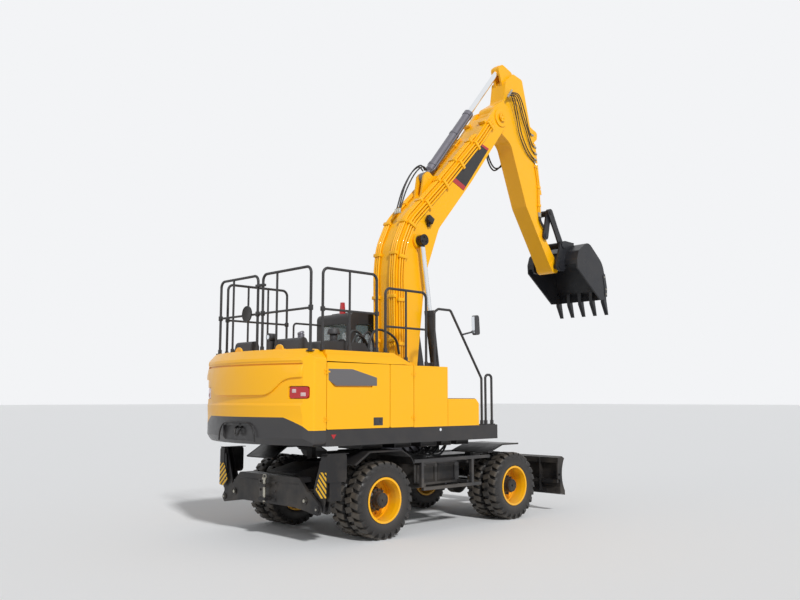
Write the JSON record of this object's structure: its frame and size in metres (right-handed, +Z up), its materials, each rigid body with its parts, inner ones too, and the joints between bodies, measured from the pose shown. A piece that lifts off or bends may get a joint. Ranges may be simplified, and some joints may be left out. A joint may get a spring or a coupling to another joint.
{
  "type": "wheeled excavator",
  "caption": "Wheeled excavator with a bent boom, toothed bucket, twin wheels, dozer blade, outriggers and a side cab",
  "frame": {"origin": "centre of the parked machine's overall box, on the ground", "axes": "+X forward to the dozer blade, +Y to the cab side (the machine's left), +Z up"},
  "size_m": [8.3518, 2.55, 8.2394],
  "materials": {
    "lamp_lens": "red lamp lens",
    "yellow_paint": "semi-gloss yellow paint",
    "black_paint": "satin black paint",
    "grey_paint": "satin dark grey paint",
    "chrome_rod": "polished hard chrome",
    "charcoal_paint": "satin charcoal paint",
    "tyre_rubber": "matte black rubber",
    "cab_glass_slot": "tinted safety glass"
  },
  "bodies": {
    "undercarriage": {"chassis_frame": "black_paint", "slew_ring": "grey_paint", "front_axle": "black_paint", "rear_axle": "black_paint", "mudguards": "black_paint", "side_steps": "black_paint", "outrigger_beam": "black_paint"},
    "knuckle_left_body": {"knuckle_left": "black_paint"},
    "knuckle_right_body": {"knuckle_right": "black_paint"},
    "steering_rod_body": {"steering_rod": "chrome_rod"},
    "wheel_front_left": {"tyres_front_left": "tyre_rubber", "rims_front_left": "yellow_paint"},
    "wheel_front_right": {"tyres_front_right": "tyre_rubber", "rims_front_right": "yellow_paint"},
    "wheel_rear_left": {"tyres_rear_left": "tyre_rubber", "rims_rear_left": "yellow_paint"},
    "wheel_rear_right": {"tyres_rear_right": "tyre_rubber", "rims_rear_right": "yellow_paint"},
    "blade": {"dozer_blade": "black_paint"},
    "blade_barrels": {"blade_cylinder_barrels": "black_paint"},
    "blade_rods": {"blade_cylinder_rods": "chrome_rod"},
    "leg_left": {"outrigger_left": "black_paint"},
    "leg_barrel_left": {"outrigger_barrel_left": "black_paint"},
    "leg_rod_left": {"outrigger_rod_left": "chrome_rod"},
    "leg_right": {"outrigger_right": "black_paint"},
    "leg_barrel_right": {"outrigger_barrel_right": "black_paint"},
    "leg_rod_right": {"outrigger_rod_right": "chrome_rod"},
    "upper_body": {"upper_deck": "black_paint", "counterweight": "yellow_paint", "engine_block": "grey_paint", "body_panels": "yellow_paint", "valve_block": "grey_paint", "handrails": "black_paint", "tail_covers": "black_paint", "lamps": "lamp_lens", "mirrors": "black_paint", "cab_shell": "charcoal_paint", "cab_glass": "cab_glass_slot", "cab_interior": "black_paint"},
    "cab_door_body": {"cab_door": "charcoal_paint"},
    "hood": {"engine_hood": "black_paint"},
    "right_rear_door": {"door_right_rear": "yellow_paint"},
    "right_front_door": {"door_right_front": "yellow_paint"},
    "left_rear_door": {"door_left_rear": "yellow_paint"},
    "left_front_door": {"door_left_front": "yellow_paint"},
    "boom_body": {"boom": "yellow_paint"},
    "boom_barrels": {"boom_cylinder_barrels": "grey_paint"},
    "boom_rods": {"boom_cylinder_rods": "chrome_rod"},
    "arm_barrel": {"arm_cylinder_barrel": "grey_paint"},
    "arm_rod": {"arm_cylinder_rod": "chrome_rod"},
    "arm_body": {"arm": "yellow_paint"},
    "bucket_barrel": {"bucket_cylinder_barrel": "grey_paint"},
    "bucket_rod": {"bucket_cylinder_rod": "chrome_rod"},
    "rocker": {"rocker_links": "black_paint"},
    "link": {"bucket_link": "black_paint"},
    "bucket_body": {"bucket": "black_paint"}
  },
  "joints": [
    {"name": "steer_left", "type": "hinge", "parent": "undercarriage", "child": "knuckle_left_body", "pos_m": [0.274, 0.56, 0.5275], "axis": [0, 0, 1], "range_deg": [-25, 25]},
    {"name": "wheel_front_left_spin", "type": "hinge", "parent": "knuckle_left_body", "child": "wheel_front_left", "pos_m": [0.274, 0.976, 0.5275], "axis": [0, 1, 0], "continuous": true},
    {"name": "wheel_rear_left_spin", "type": "hinge", "parent": "undercarriage", "child": "wheel_rear_left", "pos_m": [-2.576, 0.976, 0.5275], "axis": [0, 1, 0], "continuous": true},
    {"name": "steer_right", "type": "hinge", "parent": "undercarriage", "child": "knuckle_right_body", "pos_m": [0.274, -0.56, 0.5275], "axis": [0, 0, 1], "range_deg": [-25, 25]},
    {"name": "wheel_front_right_spin", "type": "hinge", "parent": "knuckle_right_body", "child": "wheel_front_right", "pos_m": [0.274, -0.976, 0.5275], "axis": [0, 1, 0], "continuous": true},
    {"name": "wheel_rear_right_spin", "type": "hinge", "parent": "undercarriage", "child": "wheel_rear_right", "pos_m": [-2.576, -0.976, 0.5275], "axis": [0, 1, 0], "continuous": true},
    {"name": "steering_rod_slide", "type": "slide", "parent": "undercarriage", "child": "steering_rod_body", "axis": [0, 1, 0], "range_m": [-0.13, 0.13]},
    {"name": "blade_lift", "type": "hinge", "parent": "undercarriage", "child": "blade", "pos_m": [0.954, 0, 0.6], "axis": [0, -1, 0], "range_deg": [-29, 12]},
    {"name": "blade_cylinder_swing", "type": "hinge", "parent": "undercarriage", "child": "blade_barrels", "pos_m": [0.974, 0, 0.9], "axis": [0, -1, 0], "range_deg": [-21.38, 9.14]},
    {"name": "blade_cylinder_stroke", "type": "slide", "parent": "blade_barrels", "child": "blade_rods", "axis": [0.8706, 0, -0.4921], "range_m": [-0.0572, 0.1326]},
    {"name": "outrigger_left_swing", "type": "hinge", "parent": "undercarriage", "child": "leg_left", "pos_m": [-3.526, 1.09, 0.48], "axis": [-1, 0, 0], "range_deg": [0, 117]},
    {"name": "outrigger_left_cylinder_swing", "type": "hinge", "parent": "undercarriage", "child": "leg_barrel_left", "pos_m": [-3.526, 0.45, 0.64], "axis": [1, 0, 0], "range_deg": [-17.73, 0.5]},
    {"name": "outrigger_left_cylinder_stroke", "type": "slide", "parent": "leg_barrel_left", "child": "leg_rod_left", "axis": [0, 0.9912, 0.1327], "range_m": [-0.004, 0.3911]},
    {"name": "outrigger_right_swing", "type": "hinge", "parent": "undercarriage", "child": "leg_right", "pos_m": [-3.526, -1.09, 0.48], "axis": [1, 0, 0], "range_deg": [0, 117]},
    {"name": "outrigger_right_cylinder_swing", "type": "hinge", "parent": "undercarriage", "child": "leg_barrel_right", "pos_m": [-3.526, -0.45, 0.64], "axis": [-1, 0, 0], "range_deg": [-17.73, 0.5]},
    {"name": "outrigger_right_cylinder_stroke", "type": "slide", "parent": "leg_barrel_right", "child": "leg_rod_right", "axis": [0, -0.9912, 0.1327], "range_m": [-0.004, 0.3911]},
    {"name": "slew", "type": "hinge", "parent": "undercarriage", "child": "upper_body", "pos_m": [-1.376, 0, 1.2], "axis": [0, 0, 1], "continuous": true},
    {"name": "cab_door_swing", "type": "hinge", "parent": "upper_body", "child": "cab_door_body", "pos_m": [-1.376, 1.262, 2.3], "axis": [0, 0, 1], "range_deg": [0, 90]},
    {"name": "hood_lift", "type": "hinge", "parent": "upper_body", "child": "hood", "pos_m": [-2.538, 0, 2.562], "axis": [0, 1, 0], "range_deg": [0, 55]},
    {"name": "right_rear_door_swing", "type": "hinge", "parent": "upper_body", "child": "right_rear_door", "pos_m": [-3.616, -1.262, 2], "axis": [0, 0, -1], "range_deg": [0, 90]},
    {"name": "right_front_door_swing", "type": "hinge", "parent": "upper_body", "child": "right_front_door", "pos_m": [-2.006, -1.262, 2], "axis": [0, 0, 1], "range_deg": [0, 90]},
    {"name": "left_front_door_swing", "type": "hinge", "parent": "upper_body", "child": "left_front_door", "pos_m": [-1.816, 1.262, 2], "axis": [0, 0, -1], "range_deg": [0, 90]},
    {"name": "left_rear_door_swing", "type": "hinge", "parent": "upper_body", "child": "left_rear_door", "pos_m": [-3.616, 1.262, 2], "axis": [0, 0, 1], "range_deg": [0, 90]},
    {"name": "boom_lift", "type": "hinge", "parent": "upper_body", "child": "boom_body", "pos_m": [-1.226, -0.08, 2], "axis": [0, -1, 0], "range_deg": [-75, 4]},
    {"name": "boom_cylinder_swing", "type": "hinge", "parent": "upper_body", "child": "boom_barrels", "pos_m": [-0.586, -0.08, 1.7], "axis": [0, -1, 0], "range_deg": [-74.3, 4.44]},
    {"name": "boom_cylinder_stroke", "type": "slide", "parent": "boom_barrels", "child": "boom_rods", "axis": [-0.1464, 0, 0.9892], "range_m": [-0.8662, 0.05]},
    {"name": "arm_swing", "type": "hinge", "parent": "boom_body", "child": "arm_body", "pos_m": [1.214, -0.08, 7.09], "axis": [0, 1, 0], "range_deg": [-78, 20]},
    {"name": "arm_cylinder_swing", "type": "hinge", "parent": "boom_body", "child": "arm_barrel", "pos_m": [-0.561, -0.08, 5.66], "axis": [0, -1, 0], "range_deg": [-5.41, 19.67]},
    {"name": "arm_cylinder_stroke", "type": "slide", "parent": "arm_barrel", "child": "arm_rod", "axis": [0.6325, 0, 0.7746], "range_m": [-1.0339, 0.2681]},
    {"name": "bucket_curl", "type": "hinge", "parent": "arm_body", "child": "bucket_body", "pos_m": [2.924, -0.08, 4.49], "axis": [0, 1, 0], "range_deg": [-8, 120]},
    {"name": "rocker_swing", "type": "hinge", "parent": "arm_body", "child": "rocker", "pos_m": [2.602, -0.08, 5.067], "axis": [0, 1, 0], "range_deg": [-8.11, 114.67]},
    {"name": "link_swing", "type": "hinge", "parent": "rocker", "child": "link", "pos_m": [2.71643, -0.08, 5.52595], "axis": [0, 1, 0], "range_deg": [-108.04, 7.67]},
    {"name": "bucket_cylinder_swing", "type": "hinge", "parent": "arm_body", "child": "bucket_barrel", "pos_m": [2.474, -0.08, 7.08], "axis": [0, -1, 0], "range_deg": [-0.99, 7.92]},
    {"name": "bucket_cylinder_stroke", "type": "slide", "parent": "bucket_barrel", "child": "bucket_rod", "axis": [0.1541, 0, -0.988], "range_m": [-0.0541, 0.7554]}
  ],
  "couplings": [
    {"joint": "steer_right", "follows": "steer_left", "ratio": 1},
    {"joint": "steering_rod_slide", "follows": "steer_left", "m_per_rad": -0.24214},
    {"joint": "blade_cylinder_swing", "follows": "blade_lift", "ratio": 0.72008},
    {"joint": "blade_cylinder_stroke", "follows": "blade_lift", "m_per_rad": -0.25416},
    {"joint": "outrigger_left_cylinder_swing", "follows": "outrigger_left_swing", "ratio": -0.14722},
    {"joint": "outrigger_left_cylinder_stroke", "follows": "outrigger_left_swing", "m_per_rad": 0.18957},
    {"joint": "outrigger_right_cylinder_swing", "follows": "outrigger_right_swing", "ratio": -0.14722},
    {"joint": "outrigger_right_cylinder_stroke", "follows": "outrigger_right_swing", "m_per_rad": 0.18957},
    {"joint": "boom_cylinder_swing", "follows": "boom_lift", "ratio": 0.98395},
    {"joint": "boom_cylinder_stroke", "follows": "boom_lift", "m_per_rad": 0.65869},
    {"joint": "arm_cylinder_swing", "follows": "arm_swing", "ratio": -0.24571},
    {"joint": "arm_cylinder_stroke", "follows": "arm_swing", "m_per_rad": 0.75652},
    {"joint": "rocker_swing", "follows": "bucket_curl", "ratio": 0.9514},
    {"joint": "link_swing", "follows": "bucket_curl", "ratio": -0.8962},
    {"joint": "bucket_cylinder_swing", "follows": "bucket_curl", "ratio": 0.06187},
    {"joint": "bucket_cylinder_stroke", "follows": "bucket_curl", "m_per_rad": 0.35879}
  ]
}
